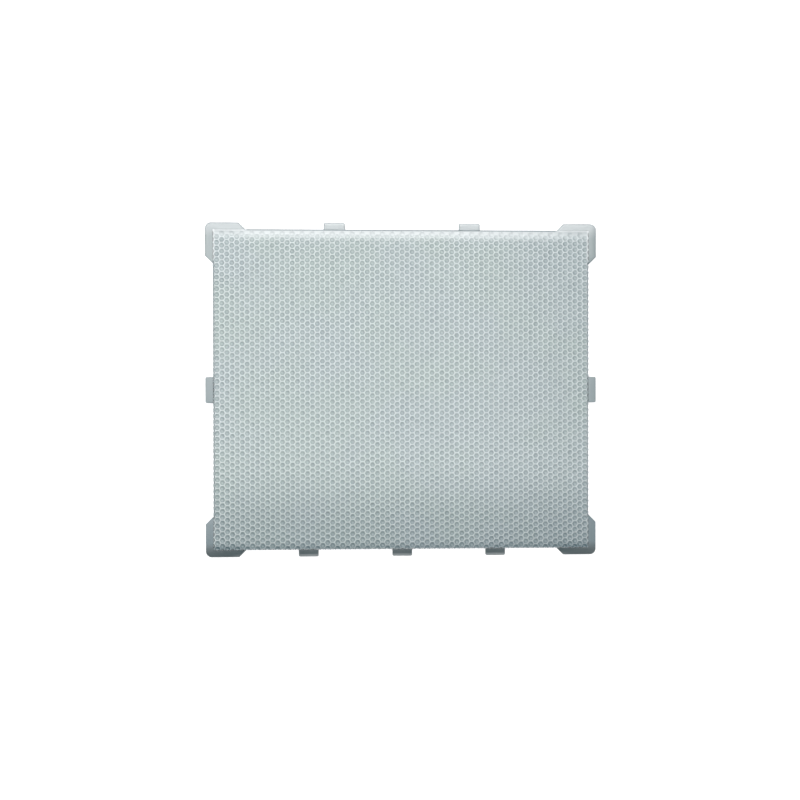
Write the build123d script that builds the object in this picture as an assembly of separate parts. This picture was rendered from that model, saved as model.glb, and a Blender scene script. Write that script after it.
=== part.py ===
from build123d import *
from math import isclose, sqrt
import os

# Moulded comb foundation sheet for a beehive frame, in millimetres.
#
# One stiff plastic sheet carries a field of shallow six-sided cells on both faces. Bevelled ears at its corners and
# short bevelled tabs along its edges stand out past the field and seat in the grooves of a hive frame.
#
# Frame: the sheet lies flat, front face up (+Z), long side along X, the edge with two tabs towards +Y. The origin is
# the middle of the sheet, on the plane of the back cell walls, which the sheet rests on.

# Cell field. Cells stand in columns along Y. The outer columns, and every second one between them, are half a cell
# lower than their neighbours, so the lowest cell of each is cut in half by the sheet's lower edge.
cell_pitch = 5.4
cell_columns = 75
cell_rows = 55
cell_wall = 1.0

# Plain material between the cells and the edges of the sheet.
side_margin = 0.6
top_margin = 1.6
bottom_margin = 1.4

# Section through the sheet: cell walls on both faces of a closed floor.
wall_height = 1.6
septum_thickness = 1.0

# Ears and tabs: a plate thinner than the sheet, bevelled on both faces down to a narrow tip with rounded edges.
edge_thickness = 2.0
tip_thickness = 1.0
tip_rounding = 0.3

# How far the ears and tabs stand out past the sheet, from its long edges and from its sides.
long_edge_reach = 6.4
side_reach = 7.1

# Corner ears: an L round each corner, each arm ending in a slope at 45 degrees back to the sheet.
ear_arm = 31.0
ear_bevel = 2.0
ear_face_corner = 3.5

# Tabs: widths along the edge they stand on, and places along that edge from its middle.
tab_bevel = 0.9
tab_face_corner = 0.3
top_tab_width = 19.6
top_tab_place = 63.5
bottom_tab_width = 18.6
bottom_tab_place = 88.0
side_tab_width = 24.3

# Sizes that follow from those above.
cell_corner = cell_pitch / sqrt(3)
column_spacing = cell_pitch * sqrt(3) / 2
field_width = (cell_columns - 1) * column_spacing + 2 * cell_corner
field_height = cell_rows * cell_pitch
sheet_width = field_width + 2 * side_margin
sheet_height = field_height + top_margin + bottom_margin
sheet_thickness = septum_thickness + 2 * wall_height
middle_plane = sheet_thickness / 2
half_width = sheet_width / 2
half_height = sheet_height / 2
bevel_drop = (edge_thickness - tip_thickness) / 2
cell_radius = (cell_pitch - cell_wall) / 2
field_depth = sheet_height - top_margin
field_middle = -top_margin / 2
field_lower_line = bottom_margin - half_height


def column_of_cell_walls(column):
    """The walls round one column of cells: a strip as deep as the field, bored through once for each cell."""
    middle = (column - (cell_columns - 1) / 2) * column_spacing
    left = -half_width if column == 0 else middle - column_spacing / 2
    right = half_width if column == cell_columns - 1 else middle + column_spacing / 2
    lowest_cell = field_lower_line + (column % 2) * cell_pitch / 2
    strip = Pos((left + right) / 2, field_middle) * Rectangle(right - left, field_depth)
    cells = [Pos(middle, lowest_cell + row * cell_pitch) * Circle(cell_radius) for row in range(cell_rows)]
    return extrude(strip - cells, amount=wall_height)


def cell_walls(bottom):
    """The cell walls of one face, a column at a time, standing from the given height."""
    columns = [Pos(0, 0, bottom) * column_of_cell_walls(column) for column in range(cell_columns)]
    return Compound(children=columns)


def is_tip_edge(edge):
    """Whether an edge of a plate on the XY plane runs round the top or the bottom of its tip."""
    return isclose(abs(edge.center().Z), tip_thickness / 2, abs_tol=tip_rounding / 10)


def bevelled_edge_plate(outline, bevel):
    """A plate on the middle plane, bevelled round its outline on both faces and cut off at the sheet's edge."""
    plate = extrude(outline, amount=edge_thickness / 2, both=True)
    for lowest_or_highest in (0, -1):
        face = plate.faces().sort_by(Axis.Z)[lowest_or_highest]
        plate = chamfer(face.edges(), length=bevel, length2=bevel_drop, reference=face)
    plate = fillet(plate.edges().filter_by(is_tip_edge), tip_rounding)
    sheet = Box(sheet_width, sheet_height, sheet_thickness)
    return Pos(0, 0, middle_plane) * (plate - sheet)


def corner_ear(x_side, y_side):
    """The L-shaped ear at the corner on the given sides, each side being 1 or -1."""
    tip_x = half_width + side_reach
    tip_y = half_height + long_edge_reach
    # The slopes run on under the sheet as far again as they stand out, and a straight line joins them there.
    corners = [
        (tip_x, tip_y),
        (tip_x - ear_arm, tip_y),
        (tip_x - ear_arm - 2 * long_edge_reach, tip_y - 2 * long_edge_reach),
        (tip_x - 2 * side_reach, tip_y - ear_arm - 2 * side_reach),
        (tip_x, tip_y - ear_arm),
    ]
    placed = [(x * x_side, y * y_side) for x, y in corners]
    outline = make_face(Polyline(placed, close=True))
    outer_corner = outline.vertices().sort_by_distance(placed[0])[0]
    return bevelled_edge_plate(fillet(outer_corner, ear_bevel + ear_face_corner), ear_bevel)


def edge_tab(x, y, size_x, size_y):
    """A rectangular tab centred on a point of the sheet's edge, so that half of it stands out past the edge."""
    outline = Pos(x, y) * RectangleRounded(size_x, size_y, tab_bevel + tab_face_corner)
    return bevelled_edge_plate(outline, tab_bevel)


nodes = {
    "back_cell_walls": cell_walls(0),
    "septum": Pos(0, field_middle, middle_plane) * Box(sheet_width, field_depth, septum_thickness),
    "front_cell_walls": cell_walls(wall_height + septum_thickness),
    "top_rim": Pos(0, half_height - top_margin / 2, middle_plane) * Box(sheet_width, top_margin, sheet_thickness),
}

for y_name, y_side in (("top", 1), ("bottom", -1)):
    for x_name, x_side in (("left", -1), ("right", 1)):
        nodes[f"{y_name}_{x_name}_ear"] = corner_ear(x_side, y_side)

for name, place in (("left", -top_tab_place), ("right", top_tab_place)):
    nodes[f"top_tab_{name}"] = edge_tab(place, half_height, top_tab_width, 2 * long_edge_reach)

for name, place in (("left", -bottom_tab_place), ("middle", 0), ("right", bottom_tab_place)):
    nodes[f"bottom_tab_{name}"] = edge_tab(place, -half_height, bottom_tab_width, 2 * long_edge_reach)

for name, x_side in (("left", -1), ("right", 1)):
    nodes[f"side_tab_{name}"] = edge_tab(x_side * half_width, 0, 2 * side_reach, side_tab_width)

os.makedirs("parts", exist_ok=True)
for name, shape in nodes.items():
    export_step(shape, f"parts/{name}.step", write_pcurves=False)
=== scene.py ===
import math

import bmesh
import bpy
from mathutils import Euler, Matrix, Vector


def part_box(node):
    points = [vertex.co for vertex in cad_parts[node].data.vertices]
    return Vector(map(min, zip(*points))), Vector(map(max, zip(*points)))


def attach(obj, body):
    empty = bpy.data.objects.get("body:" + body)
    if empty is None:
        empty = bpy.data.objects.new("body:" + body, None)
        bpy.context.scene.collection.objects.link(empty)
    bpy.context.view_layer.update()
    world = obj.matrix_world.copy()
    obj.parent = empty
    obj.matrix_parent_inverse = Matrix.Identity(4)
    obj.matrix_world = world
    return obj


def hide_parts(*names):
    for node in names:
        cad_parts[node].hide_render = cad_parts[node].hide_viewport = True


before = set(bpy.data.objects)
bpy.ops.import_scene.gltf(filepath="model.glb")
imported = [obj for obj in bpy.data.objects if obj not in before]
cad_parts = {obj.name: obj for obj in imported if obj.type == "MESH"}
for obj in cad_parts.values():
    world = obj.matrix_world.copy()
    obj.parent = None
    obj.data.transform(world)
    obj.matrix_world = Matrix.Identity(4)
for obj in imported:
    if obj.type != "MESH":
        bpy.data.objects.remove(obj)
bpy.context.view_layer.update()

# A moulded comb foundation sheet, lying flat with its front cells up: six-sided cells on both faces of one floor, a
# plain rim along the top edge, and bevelled ears and tabs that stand out past the cells.

MM = 0.001

# Cell lattice: columns along Y, every second one half a cell higher than its neighbours.
CELL_PITCH = 5.4 * MM
CELL_ROWS = 55
CELL_COLUMNS = 75
CELL_CORNER = CELL_PITCH / math.sqrt(3)
COLUMN_SPACING = 1.5 * CELL_CORNER
HALF_CELL = CELL_PITCH / 2

# The sheet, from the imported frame.
FIELD_LOWEST, FIELD_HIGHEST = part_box("front_cell_walls")
SHEET_LEFT, SHEET_BOTTOM = FIELD_LOWEST.x, FIELD_LOWEST.y
SHEET_RIGHT, FIELD_TOP = FIELD_HIGHEST.x, FIELD_HIGHEST.y
SHEET_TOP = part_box("top_rim")[1].y
MIDDLE_PLANE = FIELD_HIGHEST.z / 2
CREST_HEIGHT = FIELD_HIGHEST.z - MIDDLE_PLANE
LOWEST_CENTRE = FIELD_TOP - CELL_ROWS * CELL_PITCH

# Section through one cell, from the middle of its walls inwards. Radii are half the distance across the flats.
CREST_INNER = 2.44 * MM
SHOULDER_RADIUS = 2.22 * MM
SHOULDER_DROP = 0.30 * MM
FOOT_RADIUS = 1.84 * MM
FOOT_ROUNDING = 0.5
FLOOR_RISE = 1.25 * MM
FLOOR_HOLLOW = 0.12 * MM
EDGE_RECESS = 0.50 * MM
WELD = 0.005 * MM

# The cells get shallower over this distance from the rim, down to this share of their depth.
FADE_DEPTH = 9 * MM
FADED_CELLS = 0.3

# Rounding of the rim's outer corners.
RIM_ROUNDING = 0.8 * MM

# Section through an ear or tab, as the distance in from its tip and the height over the middle plane, in mm: it falls
# gently from the sheet to a thin rounded tip.
PLATE_PROFILE = ((0.0, 0.25), (0.10, 0.47), (0.32, 0.62), (0.42, 0.63), (1.15, 0.70), (3.0, 0.81), (4.6, 0.90))
EAR_CORNER = 5.4 * MM
TAB_CORNER = 1.2 * MM
ROUNDING_STEPS = 8

# Colours of the comb, each in a greener and a bluer shade; a white for painted glare and highlights and for paler
# clouds; and a grey for painted shade and darker mottles.
FLOOR_GREEN = (0.290, 0.347, 0.341, 1)
FLOOR_BLUE = (0.292, 0.344, 0.353, 1)
WALL_GREEN = (0.570, 0.628, 0.622, 1)
WALL_BLUE = (0.574, 0.626, 0.637, 1)
PALE_AND_HIGHLIGHT_WHITE = (0.64, 0.67, 0.68, 1)
MOTTLE_AND_SHADE_GREY = (0.036, 0.080, 0.100, 1)

# Colours of the ears and tabs from the bottom edge of the sheet to its top edge, as painted shade below and painted
# light above.
EDGE_SHADED_LOWEST = (0.034, 0.055, 0.060, 1)
EDGE_SHADED_LOW = (0.102, 0.148, 0.167, 1)
EDGE_LIT_HIGH = (0.228, 0.270, 0.275, 1)
EDGE_LIT_HIGHEST = (0.315, 0.350, 0.360, 1)

# Noise patterns, in features per metre.
CLOUD_SCALE = 14.0
MOTTLE_SCALE = 210.0
SPECK_SCALE = 900.0
EDGE_CLOUD_SCALE = 30.0
RIPPLE_SCALE = 160.0

# Where the painted light and shade of the comb change: depths in from its edges, and places along its height and
# width.
GLARE_DEPTH = 15 * MM
RIM_BLEND = 5 * MM
SHADE_DEPTH = 9 * MM
LOWER_SHADE_START = -60 * MM
RIGHT_SHADE_START = 50 * MM
END_START, END_FULL = 40 * MM, 12 * MM
SIDE_LINE_START, SIDE_LINE_FULL = 2.4 * MM, 1.0 * MM
TOP_LINE_START, TOP_LINE_FULL = 1.6 * MM, 0.9 * MM
LONG_ARM_NEAR, LONG_ARM_FAR = 28 * MM, 33 * MM
SIDE_ARM_NEAR, SIDE_ARM_FAR = 26 * MM, 31 * MM

# Where the painted light and shade of the ears and tabs and their pale strip change: past the sheet's edge, and by the
# height over the middle plane.
EDGE_TURN = 8 * MM
EDGE_PAST = 2 * MM
STRIP_START, STRIP_FULL = 3.4 * MM, 5.2 * MM
TIP_SHADE_START, TIP_SHADE_FULL = 0.70 * MM, 0.60 * MM

PLASTIC_IOR = 1.5


def vertices_of(geometry):
    """The vertices among mixed mesh elements."""
    return [part for part in geometry if isinstance(part, bmesh.types.BMVert)]


def cell_ring(mesh, flat, height, rounding=0.0):
    """Twelve points round a cell: its corners, and the middles of its sides at the given distance out.

    A rounding of 1 turns the six-sided ring into a circle.
    """
    ring = bmesh.ops.create_circle(mesh, segments=12, radius=flat)["verts"]
    corner = 1 + (2 / math.sqrt(3) - 1) * (1 - rounding)
    bmesh.ops.scale(mesh, vec=(corner, corner, 1), verts=ring[1::2])
    bmesh.ops.translate(mesh, vec=(0, 0, height), verts=ring)
    return ring


def edges_round(ring):
    """The edges that join the points of a ring, always in the same order."""
    members = set(ring)
    touching = dict.fromkeys(edge for vert in ring for edge in vert.link_edges)
    return [edge for edge in touching if set(edge.verts) <= members]


def open_cell(mesh):
    """One cell: flat crest, shoulder, sloping wall and a shallow hollow floor."""
    rings = [
        cell_ring(mesh, HALF_CELL, CREST_HEIGHT),
        cell_ring(mesh, CREST_INNER, CREST_HEIGHT),
        cell_ring(mesh, SHOULDER_RADIUS, CREST_HEIGHT - SHOULDER_DROP),
        cell_ring(mesh, FOOT_RADIUS, FLOOR_RISE, FOOT_ROUNDING),
    ]
    for outer, inner in zip(rings, rings[1:]):
        bmesh.ops.bridge_loops(mesh, edges=edges_round(outer) + edges_round(inner))
    floor = bmesh.ops.edgeloop_fill(mesh, edges=edges_round(rings[-1]))["faces"]
    centre = bmesh.ops.poke(mesh, faces=floor)["verts"]
    bmesh.ops.translate(mesh, vec=(0, 0, -FLOOR_HOLLOW), verts=centre)


def plain_cell(mesh):
    """The place of a cell that is left solid up to the crests."""
    ring = cell_ring(mesh, HALF_CELL, CREST_HEIGHT)
    bmesh.ops.edgeloop_fill(mesh, edges=edges_round(ring))


def repeated(mesh, geometry, step, count):
    """Geometry and its copies, each one step further than the last."""
    everything = list(geometry)
    for turn in range(1, count):
        copy = bmesh.ops.duplicate(mesh, geom=geometry)["geom"]
        bmesh.ops.translate(mesh, vec=Vector(step) * turn, verts=vertices_of(copy))
        everything += copy
    return everything


def everything_in(mesh):
    return mesh.verts[:] + mesh.edges[:] + mesh.faces[:]


def cell_column(mesh, first_centre, cells, plain_top):
    """A column of cells from its lowest centre up, with a solid cell on top if asked."""
    before = set(everything_in(mesh))
    open_cell(mesh)
    cell = [part for part in everything_in(mesh) if part not in before]
    column = repeated(mesh, cell, (0, CELL_PITCH, 0), cells)
    if plain_top:
        before = set(everything_in(mesh))
        plain_cell(mesh)
        top = [part for part in everything_in(mesh) if part not in before]
        bmesh.ops.translate(mesh, vec=(0, cells * CELL_PITCH, 0), verts=vertices_of(top))
        column += top
    bmesh.ops.translate(mesh, vec=first_centre, verts=vertices_of(column))
    return column


def cut_at(mesh, point, outward):
    """Cuts away what lies beyond a plane."""
    bmesh.ops.bisect_plane(
        mesh, geom=everything_in(mesh), dist=WELD, plane_co=point, plane_no=outward, clear_outer=True
    )


def at_side(place):
    """1 on the sheet's left or right edge, and 0 elsewhere."""
    return float(min(abs(place.x - SHEET_LEFT), abs(place.x - SHEET_RIGHT)) < WELD)


def at_bottom(place):
    """1 on the sheet's bottom edge, and 0 elsewhere."""
    return float(abs(place.y - SHEET_BOTTOM) < WELD)


def on_sheet_outline(place):
    """Whether a point is straight above or below the outline of the sheet."""
    return at_side(place) > 0 or abs(abs(place.y) - SHEET_TOP) < WELD


def close_downwards(mesh):
    """Gives an open cell surface its side walls, set back below the crests, and a flat underside at height 0."""
    rim = [edge for edge in mesh.edges if edge.is_boundary]
    for edge in rim:
        edge.smooth = False
    for vert in {vert for edge in rim for vert in edge.verts}:
        if vert.co.z < CREST_HEIGHT - WELD:
            set_back = EDGE_RECESS * min(1, (CREST_HEIGHT - vert.co.z) / SHOULDER_DROP)
            vert.co.x -= math.copysign(set_back, vert.co.x) * at_side(vert.co)
            vert.co.y += set_back * at_bottom(vert.co)
    walls = bmesh.ops.extrude_edge_only(mesh, edges=rim)["geom"]
    lower = vertices_of(walls)
    bmesh.ops.scale(mesh, vec=(1, 1, 0), verts=lower)
    bmesh.ops.remove_doubles(mesh, verts=lower, dist=WELD)
    underside = [edge for edge in mesh.edges if edge.is_boundary]
    for edge in underside:
        edge.smooth = False
    bmesh.ops.edgeloop_fill(mesh, edges=underside)


def comb_mesh(first_column, last_column, shift):
    """The closed solid of the given columns of cells, standing on height 0, moved right by shift."""
    mesh = bmesh.new()
    columns = last_column - first_column + 1
    left = Vector(((first_column - (CELL_COLUMNS - 1) / 2) * COLUMN_SPACING + shift, LOWEST_CENTRE, 0))
    pairs = math.ceil(columns / 2)
    for column in (first_column, first_column + 1):
        low = column % 2 == 0
        beside = Vector(((column - first_column) * COLUMN_SPACING, 0 if low else -HALF_CELL, 0))
        built = cell_column(mesh, left + beside, CELL_ROWS if low else CELL_ROWS + 1, low)
        copies = pairs if column == first_column else columns - pairs
        repeated(mesh, built, (2 * COLUMN_SPACING, 0, 0), copies)
    bmesh.ops.remove_doubles(mesh, verts=mesh.verts, dist=WELD)
    cut_at(mesh, (SHEET_LEFT, 0, 0), (-1, 0, 0))
    cut_at(mesh, (SHEET_RIGHT, 0, 0), (1, 0, 0))
    cut_at(mesh, (0, SHEET_BOTTOM, 0), (0, -1, 0))
    cut_at(mesh, (0, FIELD_TOP, 0), (0, 1, 0))
    for vert in mesh.verts:
        near_top = min(1, max(0, 1 - (FIELD_TOP - vert.co.y) / FADE_DEPTH))
        vert.co.z = CREST_HEIGHT - (CREST_HEIGHT - vert.co.z) * (1 - (1 - FADED_CELLS) * near_top)
    for face in mesh.faces:
        face.smooth = True
    close_downwards(mesh)
    return mesh


def finished_piece(name, mesh, material, slot, *stands_for):
    """Makes a mesh an object of the scene that moves with the sheet and stands for CAD nodes."""
    bmesh.ops.recalc_face_normals(mesh, faces=mesh.faces)
    # Its faces now agree with each other, but they may all face inwards.
    if mesh.calc_volume(signed=True) < 0:
        bmesh.ops.reverse_faces(mesh, faces=mesh.faces)
    data = bpy.data.meshes.new(name)
    mesh.to_mesh(data)
    mesh.free()
    data.materials.append(material)
    piece = bpy.data.objects.new(name, data)
    bpy.context.scene.collection.objects.link(piece)
    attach(piece, "root")
    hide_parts(*stands_for)
    return piece


class Shade:
    """An output of a shader node. Arithmetic on it adds Math nodes."""

    def __init__(self, nodes, socket):
        self.nodes = nodes
        self.socket = socket

    def _math(self, operation, first, second):
        return self.nodes.node("ShaderNodeMath", {"operation": operation}, {0: first, 1: second})

    def __add__(self, other):
        return self._math("ADD", self, other)

    def __radd__(self, other):
        return self._math("ADD", other, self)

    def __sub__(self, other):
        return self._math("SUBTRACT", self, other)

    def __rsub__(self, other):
        return self._math("SUBTRACT", other, self)

    def __mul__(self, other):
        return self._math("MULTIPLY", self, other)

    def __rmul__(self, other):
        return self._math("MULTIPLY", other, self)

    def __truediv__(self, other):
        return self._math("DIVIDE", self, other)

    def __rtruediv__(self, other):
        return self._math("DIVIDE", other, self)


class Nodes:
    """A node tree in the making, with one way to add a node."""

    def __init__(self, tree):
        self.tree = tree
        self.tree.nodes.clear()

    def node(self, kind, settings=None, sockets=None, output=0):
        """Adds a node with its settings and socket values, and gives one of its outputs if it has any."""
        made = self.tree.nodes.new(kind)
        for setting, value in (settings or {}).items():
            setattr(made, setting, value)
        for socket, value in (sockets or {}).items():
            if isinstance(value, Shade):
                self.tree.links.new(value.socket, made.inputs[socket])
            else:
                made.inputs[socket].default_value = value
        return Shade(self, made.outputs[output]) if made.outputs else None


class Finish(Nodes):
    """A material in the making, with the places, patterns and blends that the finishes share."""

    def __init__(self, name):
        self.material = bpy.data.materials.new(name)
        self.material.use_nodes = True
        super().__init__(self.material.node_tree)

    def place(self):
        """The position on the object, in metres."""
        return self.node("ShaderNodeTexCoord", output="Object")

    def along(self, axis):
        """The position along X, Y or Z, in metres."""
        return self.node("ShaderNodeSeparateXYZ", {}, {0: self.place()}, axis)

    def size_of(self, value):
        """A value without its sign."""
        return self.node("ShaderNodeMath", {"operation": "ABSOLUTE"}, {0: value})

    def noise(self, scale, detail=2.0, roughness=0.5):
        """Smooth noise between 0 and 1, its scale in features per metre."""
        sockets = {"Vector": self.place(), "Scale": scale, "Detail": detail, "Roughness": roughness}
        return self.node("ShaderNodeTexNoise", {}, sockets, "Fac")

    def between(self, value, low, high):
        """0 where value is low, 1 where it is high, and smooth between them."""
        sockets = {"Value": value, "From Min": low, "From Max": high}
        return self.node("ShaderNodeMapRange", {"interpolation_type": "SMOOTHSTEP"}, sockets)

    def blend(self, factor, first, second):
        """The first colour where factor is 0, and the second where it is 1."""
        sockets = {"Factor": factor, 6: first, 7: second}
        return self.node("ShaderNodeMix", {"data_type": "RGBA"}, sockets, 2)

    def bump(self, height, strength, distance):
        """A surface normal that follows a height, its distance the height of a full step."""
        return self.node("ShaderNodeBump", {}, {"Strength": strength, "Distance": distance, "Height": height})

    def surface(self, sockets):
        """Ends the material in one plastic shader."""
        shader = self.node("ShaderNodeBsdfPrincipled", {}, sockets)
        self.node("ShaderNodeOutputMaterial", {}, {"Surface": shader})
        return self.material


def comb_plastic():
    """Milky moulded plastic: pale in the thick cell walls, greyer in the thin floors, with painted glare along the top
    rim and painted shade low on the sheet and along its edges.
    """
    finish = Finish("comb_plastic")
    up = finish.along("Y")
    across = finish.along("X")
    out = finish.size_of(across)
    rise = finish.size_of(finish.along("Z") - MIDDLE_PLANE)

    # Floors and walls, in soft clouds of two shades, the floors mottled. The floors' grey is partly their thin plastic
    # and partly painted shade of the cell hollows.
    wall = finish.between(rise, FLOOR_RISE, CREST_HEIGHT - 0.3 * SHOULDER_DROP)
    clouds = finish.between(finish.noise(CLOUD_SCALE, 3.0) + 0.4 * across, 0.38, 0.62)
    mottles = finish.between(finish.noise(MOTTLE_SCALE, 1.0), 0.35, 0.75)
    floor_colour = finish.blend(mottles * 0.16, finish.blend(clouds, FLOOR_GREEN, FLOOR_BLUE), MOTTLE_AND_SHADE_GREY)
    colour = finish.blend(wall, floor_colour, finish.blend(clouds, WALL_GREEN, WALL_BLUE))

    # Painted glare: paler towards the rim, less so near its ends, where the rim takes the colour of the ears at the
    # lit top of their painted light.
    near_end = finish.between(out, SHEET_RIGHT - END_START, SHEET_RIGHT - END_FULL)
    painted_glare = finish.between(up, FIELD_TOP - GLARE_DEPTH, SHEET_TOP)
    colour = finish.blend(painted_glare * painted_glare * (0.85 - 0.50 * near_end), colour, PALE_AND_HIGHLIGHT_WHITE)
    rim = finish.between(up, FIELD_TOP - RIM_BLEND, FIELD_TOP)
    colour = finish.blend(rim * (0.50 + 0.38 * near_end), colour, EDGE_LIT_HIGHEST)

    # Painted shade: darker low on the sheet, more in the floors than on the walls, towards its right side and along
    # its bottom edge, most at its ends.
    lower = finish.between(up, LOWER_SHADE_START, SHEET_BOTTOM)
    right = finish.between(across, RIGHT_SHADE_START, SHEET_RIGHT)
    colour = finish.blend(lower * (0.45 - 0.15 * wall) + right * 0.12, colour, MOTTLE_AND_SHADE_GREY)
    bottom = finish.between(up, SHEET_BOTTOM + SHADE_DEPTH, SHEET_BOTTOM)
    colour = finish.blend(bottom * (0.56 + 0.20 * near_end), colour, MOTTLE_AND_SHADE_GREY)

    # Painted shade, a dark line along the free side and top edges, and a painted highlight, a pale line where an upper
    # ear joins them.
    side_line = finish.between(out, SHEET_RIGHT - SIDE_LINE_START, SHEET_RIGHT - SIDE_LINE_FULL)
    top_line = finish.between(up, SHEET_TOP - TOP_LINE_START, SHEET_TOP - TOP_LINE_FULL)
    free_top = finish.between(out, SHEET_RIGHT - LONG_ARM_NEAR, SHEET_RIGHT - LONG_ARM_FAR)
    free_side = finish.between(finish.size_of(up), SHEET_TOP - SIDE_ARM_NEAR, SHEET_TOP - SIDE_ARM_FAR)
    colour = finish.blend(side_line * free_side * 0.60 + top_line * free_top * 0.65, colour, MOTTLE_AND_SHADE_GREY)
    highlight_beside_ear = side_line * (1 - free_side) + top_line * (1 - free_top)
    colour = finish.blend(highlight_beside_ear * finish.between(up, 0, SHEET_TOP) * 0.6, colour, PALE_AND_HIGHLIGHT_WHITE)

    specks = finish.noise(SPECK_SCALE, 2.0)
    return finish.surface(
        {
            "Base Color": colour,
            "Roughness": 0.26 + 0.10 * wall + 0.08 * specks,
            "IOR": PLASTIC_IOR,
            "Specular IOR Level": 0.8,
            "Normal": finish.bump(specks, 0.25, 0.05 * MM),
        }
    )


def edge_plastic():
    """The same plastic in the plain ears and tabs: smoother, with painted light and shade, pale at the top of the
    sheet and darker lower down.
    """
    finish = Finish("edge_plastic")
    up = finish.along("Y")
    out = finish.size_of(finish.along("X"))
    rise = finish.size_of(finish.along("Z") - MIDDLE_PLANE)

    # Painted light and shade: the climb from dark to pale, with a last step at each long edge of the sheet.
    painted_light_climb = (up - SHEET_BOTTOM) / (SHEET_TOP - SHEET_BOTTOM)
    colour = finish.blend(painted_light_climb, EDGE_SHADED_LOW, EDGE_LIT_HIGH)
    lowest = finish.between(up, SHEET_BOTTOM + EDGE_TURN, SHEET_BOTTOM - EDGE_PAST)
    colour = finish.blend(lowest, colour, EDGE_SHADED_LOWEST)
    highest = finish.between(up, SHEET_TOP - EDGE_TURN, SHEET_TOP + EDGE_PAST)
    colour = finish.blend(highest, colour, EDGE_LIT_HIGHEST)

    # Faint clouds, a pale strip along the tips of the long edges' tabs, and painted shade, a dark outline along the
    # thin tips on the upper half.
    clouds = finish.noise(EDGE_CLOUD_SCALE, 3.0)
    away_from_ends = finish.between(out, SHEET_RIGHT - END_FULL, SHEET_RIGHT - END_START)
    strip = away_from_ends * finish.between(finish.size_of(up), SHEET_TOP + STRIP_START, SHEET_TOP + STRIP_FULL)
    colour = finish.blend(0.10 * clouds + 0.22 * strip, colour, PALE_AND_HIGHLIGHT_WHITE)
    outline = finish.between(rise, TIP_SHADE_START, TIP_SHADE_FULL) * finish.between(up, 0, SHEET_TOP)
    colour = finish.blend(outline * 0.45, colour, MOTTLE_AND_SHADE_GREY)

    ripple = finish.noise(RIPPLE_SCALE, 1.0)
    return finish.surface(
        {
            "Base Color": colour,
            "Roughness": 0.18 + 0.10 * clouds,
            "IOR": PLASTIC_IOR,
            "Normal": finish.bump(ripple, 0.10, 0.1 * MM),
        }
    )


# Comb: both faces, each in two halves, the back cells set over by a cell corner. The outer columns run on past the
# sheet's sides, which cut them off.
comb_finish = comb_plastic()
middle_column = CELL_COLUMNS // 2
halves = {"left": (-2, middle_column - 1), "right": (middle_column, CELL_COLUMNS)}
for side, (first, last) in halves.items():
    front = comb_mesh(first, last, 0)
    bmesh.ops.translate(front, vec=(0, 0, MIDDLE_PLANE), verts=front.verts)
    finished_piece(f"front_comb_{side}", front, comb_finish, "cell_plastic", "front_cell_walls", "septum")
    back = comb_mesh(first, last, CELL_CORNER)
    bmesh.ops.scale(back, vec=(1, 1, -1), verts=back.verts)
    bmesh.ops.translate(back, vec=(0, 0, MIDDLE_PLANE), verts=back.verts)
    finished_piece(f"back_comb_{side}", back, comb_finish, "cell_plastic", "back_cell_walls", "septum")

# Rim: the plain strip along the top edge, with its outer corners rounded.
rim_lowest, rim_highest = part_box("top_rim")
rim = bmesh.new()
bmesh.ops.create_cube(rim, size=1)
bmesh.ops.scale(rim, vec=rim_highest - rim_lowest, verts=rim.verts)
bmesh.ops.translate(rim, vec=(rim_highest + rim_lowest) / 2, verts=rim.verts)
outer_edges = [e for e in rim.edges if all(abs(v.co.y - rim_highest.y) < WELD for v in e.verts)]
outer_edges = [e for e in outer_edges if abs(e.verts[0].co.z - e.verts[1].co.z) < WELD]
bmesh.ops.bevel(
    rim, geom=outer_edges, offset=RIM_ROUNDING, segments=4, affect="EDGES", profile=0.5, material=-1
)
finished_piece("top_rim_strip", rim, comb_finish, "cell_plastic", "top_rim")


def cut_out_sheet(mesh):
    """Takes away the part of a surface that lies within the outline of the sheet."""
    for x, y in ((SHEET_LEFT, 0), (SHEET_RIGHT, 0), (0, SHEET_BOTTOM), (0, SHEET_TOP)):
        bmesh.ops.bisect_plane(
            mesh, geom=everything_in(mesh), dist=WELD, plane_co=(x, y, 0), plane_no=(abs(x) > 0, abs(y) > 0, 0)
        )
    inside = []
    for face in mesh.faces:
        centre = face.calc_center_median()
        if SHEET_LEFT < centre.x < SHEET_RIGHT and SHEET_BOTTOM < centre.y < SHEET_TOP:
            inside.append(face)
    bmesh.ops.delete(mesh, geom=inside, context="FACES")


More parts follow.
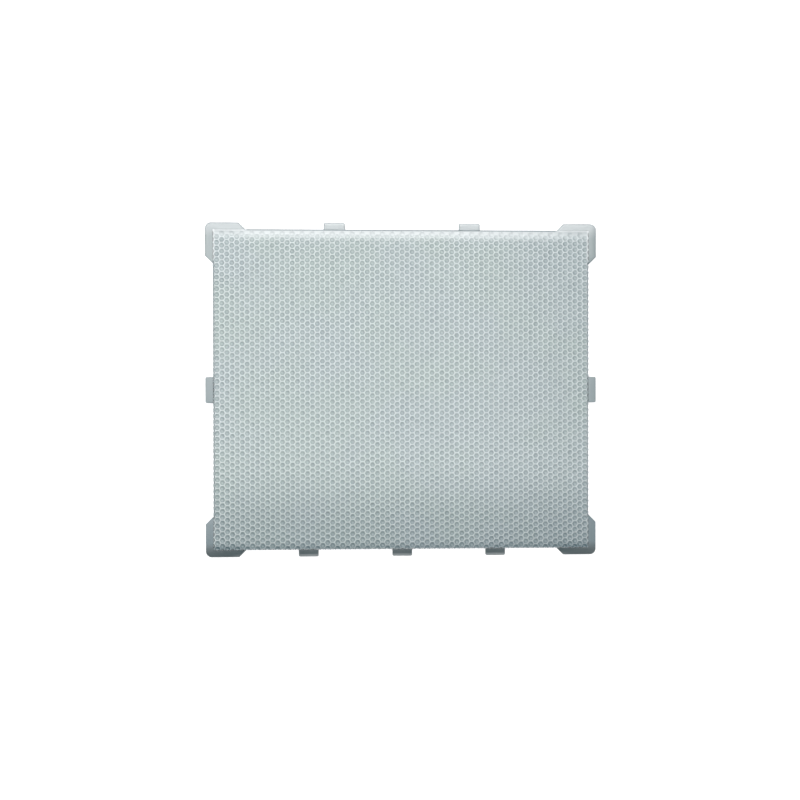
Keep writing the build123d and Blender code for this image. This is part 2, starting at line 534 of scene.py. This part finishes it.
def edge_plate(corners, rounded_corners, radius):
    """A plate from its outline in plan, crowned on both faces and cut off at the sheet's edge."""
    plate = bmesh.new()
    points = [plate.verts.new((x, y, PLATE_PROFILE[0][1] * MM)) for x, y in corners]
    plate.faces.new(points)
    bmesh.ops.bevel(
        plate,
        geom=points[:rounded_corners],
        offset=radius,
        segments=ROUNDING_STEPS,
        affect="VERTICES",
        profile=0.5,
        material=-1,
    )
    crown = plate.faces[:]
    plate.normal_update()
    if crown[0].normal.z < 0:
        bmesh.ops.reverse_faces(plate, faces=crown)
    for (near, low), (far, high) in zip(PLATE_PROFILE, PLATE_PROFILE[1:]):
        bmesh.ops.inset_region(
            plate,
            faces=crown,
            thickness=(far - near) * MM,
            depth=(high - low) * MM,
            use_even_offset=True,
            use_boundary=True,
        )
        # Further in than its corners are round, their points crowd together and are merged.
        if far * MM > 0.9 * radius:
            bmesh.ops.remove_doubles(plate, verts=crown[0].verts, dist=radius / 6)
            crown = [max(plate.faces, key=lambda face: face.calc_area())]
    cut_out_sheet(plate)
    for face in plate.faces:
        face.smooth = True
    outline = [edge for edge in plate.edges if edge.is_boundary]
    for edge in outline:
        edge.smooth = not all(on_sheet_outline(vert.co) for vert in edge.verts)
    lower = vertices_of(bmesh.ops.extrude_edge_only(plate, edges=outline)["geom"])
    bmesh.ops.scale(plate, vec=(1, 1, 0), verts=lower)
    bmesh.ops.mirror(plate, geom=everything_in(plate), merge_dist=WELD, axis="Z")
    bmesh.ops.translate(plate, vec=(0, 0, MIDDLE_PLANE), verts=plate.verts)
    return plate


def ear_outline(lowest, highest):
    """The corners of an ear in plan, its tip first. The slopes at the ends of its arms run on under the sheet."""
    x_side = math.copysign(1, highest.x + lowest.x)
    y_side = math.copysign(1, highest.y + lowest.y)
    tip_x = max(abs(lowest.x), abs(highest.x))
    tip_y = max(abs(lowest.y), abs(highest.y))
    reach_x = tip_x - SHEET_RIGHT
    reach_y = tip_y - SHEET_TOP
    arm_x = highest.x - lowest.x - reach_y
    arm_y = highest.y - lowest.y - reach_x
    corners = (
        (tip_x, tip_y),
        (tip_x - arm_x, tip_y),
        (tip_x - arm_x - 2 * reach_y, tip_y - 2 * reach_y),
        (tip_x - 2 * reach_x, tip_y - arm_y - 2 * reach_x),
        (tip_x, tip_y - arm_y),
    )
    return [(x * x_side, y * y_side) for x, y in corners]


def tab_outline(lowest, highest):
    """The corners of a tab in plan, which runs on under the sheet as far as it stands out."""
    left, right, low, high = lowest.x, highest.x, lowest.y, highest.y
    if right > SHEET_RIGHT:
        left = 2 * SHEET_RIGHT - right
    elif left < SHEET_LEFT:
        right = 2 * SHEET_LEFT - left
    elif high > SHEET_TOP:
        low = 2 * SHEET_TOP - high
    else:
        high = 2 * SHEET_BOTTOM - low
    return [(left, low), (right, low), (right, high), (left, high)]


# Ears and tabs, each from the box of its CAD node.
edge_finish = edge_plastic()
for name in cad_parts:
    lowest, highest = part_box(name)
    if name.endswith("_ear"):
        plate = edge_plate(ear_outline(lowest, highest), 1, EAR_CORNER)
    elif "_tab" in name:
        plate = edge_plate(tab_outline(lowest, highest), 4, TAB_CORNER)
    else:
        continue
    finished_piece(f"{name}_plate", plate, edge_finish, "edge_plastic", name)

# Camera: nearly square to the sheet.
CAMERA_DISTANCE = 1.2
CAMERA_LENS = 57.37
CAMERA_TURN = Euler([math.radians(angle) for angle in (-0.769, -2.988, -0.065)])
CAMERA_TARGET = Vector((-2.02 * MM, -9.62 * MM, MIDDLE_PLANE))
camera = bpy.data.objects.new("camera", bpy.data.cameras.new("camera"))
camera.data.lens = CAMERA_LENS
camera.data.clip_start = 0.01
camera.rotation_euler = CAMERA_TURN
camera.location = CAMERA_TARGET + CAMERA_TURN.to_matrix() @ Vector((0, 0, CAMERA_DISTANCE))
bpy.context.scene.collection.objects.link(camera)
bpy.context.scene.camera = camera


def soft_box(name, place, target, width, length, watts):
    """A rectangular studio lamp that faces its target."""
    lamp = bpy.data.lights.new(name, "AREA")
    lamp.shape = "RECTANGLE"
    lamp.size = width
    lamp.size_y = length
    lamp.energy = watts
    holder = bpy.data.objects.new(name, lamp)
    holder.location = place
    holder.rotation_euler = (Vector(target) - Vector(place)).to_track_quat("-Z", "Y").to_euler()
    bpy.context.scene.collection.objects.link(holder)


# A wide panel over the sheet and a brighter one beyond its top edge, which the plain ears and tabs mirror, and a third
# that fills the shade in the cells from the far side.
PANEL_HEIGHT = 1.5
soft_box("overhead_panel", (-0.30, 0.05, PANEL_HEIGHT), (-0.30, 0.05, 0), 1.8, 0.66, 16.7)
soft_box("top_panel", (-0.22, 0.58, PANEL_HEIGHT), (-0.22, 0.45, 0), 1.87, 0.36, 17)
soft_box("fill_panel", (1.2, -0.9, PANEL_HEIGHT), (0, 0, 0), 1.0, 1.0, 9.5)

# World: dim grey light, and white to the camera.
world = bpy.data.worlds.new("studio")
world.use_nodes = True
bpy.context.scene.world = world
sky = Nodes(world.node_tree)
dim = sky.node("ShaderNodeBackground", {}, {"Color": (0.12, 0.125, 0.13, 1)})
white = sky.node("ShaderNodeBackground", {}, {"Color": (1, 1, 1, 1)})
to_camera = sky.node("ShaderNodeLightPath", output="Is Camera Ray")
backdrop = sky.node("ShaderNodeMixShader", {}, {0: to_camera, 1: dim, 2: white})
sky.node("ShaderNodeOutputWorld", {}, {"Surface": backdrop})

# Floor: white to the camera, and still shaded under the sheet.
floor_mesh = bmesh.new()
bmesh.ops.create_grid(floor_mesh, x_segments=4, y_segments=4, size=6)
floor_data = bpy.data.meshes.new("floor")
floor_mesh.to_mesh(floor_data)
floor_mesh.free()
floor = bpy.data.objects.new("floor", floor_data)
floor.location.z = -0.1 * MM
bpy.context.scene.collection.objects.link(floor)
paint = Finish("floor_paint")
matte = paint.node("ShaderNodeBsdfDiffuse", {}, {"Color": (0.9, 0.9, 0.9, 1)})
seen = paint.node("ShaderNodeLightPath", output="Is Camera Ray")
distance = paint.node("ShaderNodeVectorMath", {"operation": "LENGTH"}, {0: paint.place()}, "Value")
far_off = paint.between(distance, 0.4, 1.4)
lift = paint.node("ShaderNodeEmission", {}, {"Color": (1, 1, 1, 1), "Strength": seen * (0.35 + 0.65 * far_off)})
both = paint.node("ShaderNodeAddShader", {}, {0: matte, 1: lift})
paint.node("ShaderNodeOutputMaterial", {}, {"Surface": both})
floor_data.materials.append(paint.material)

bpy.context.scene.view_settings.view_transform = "Standard"
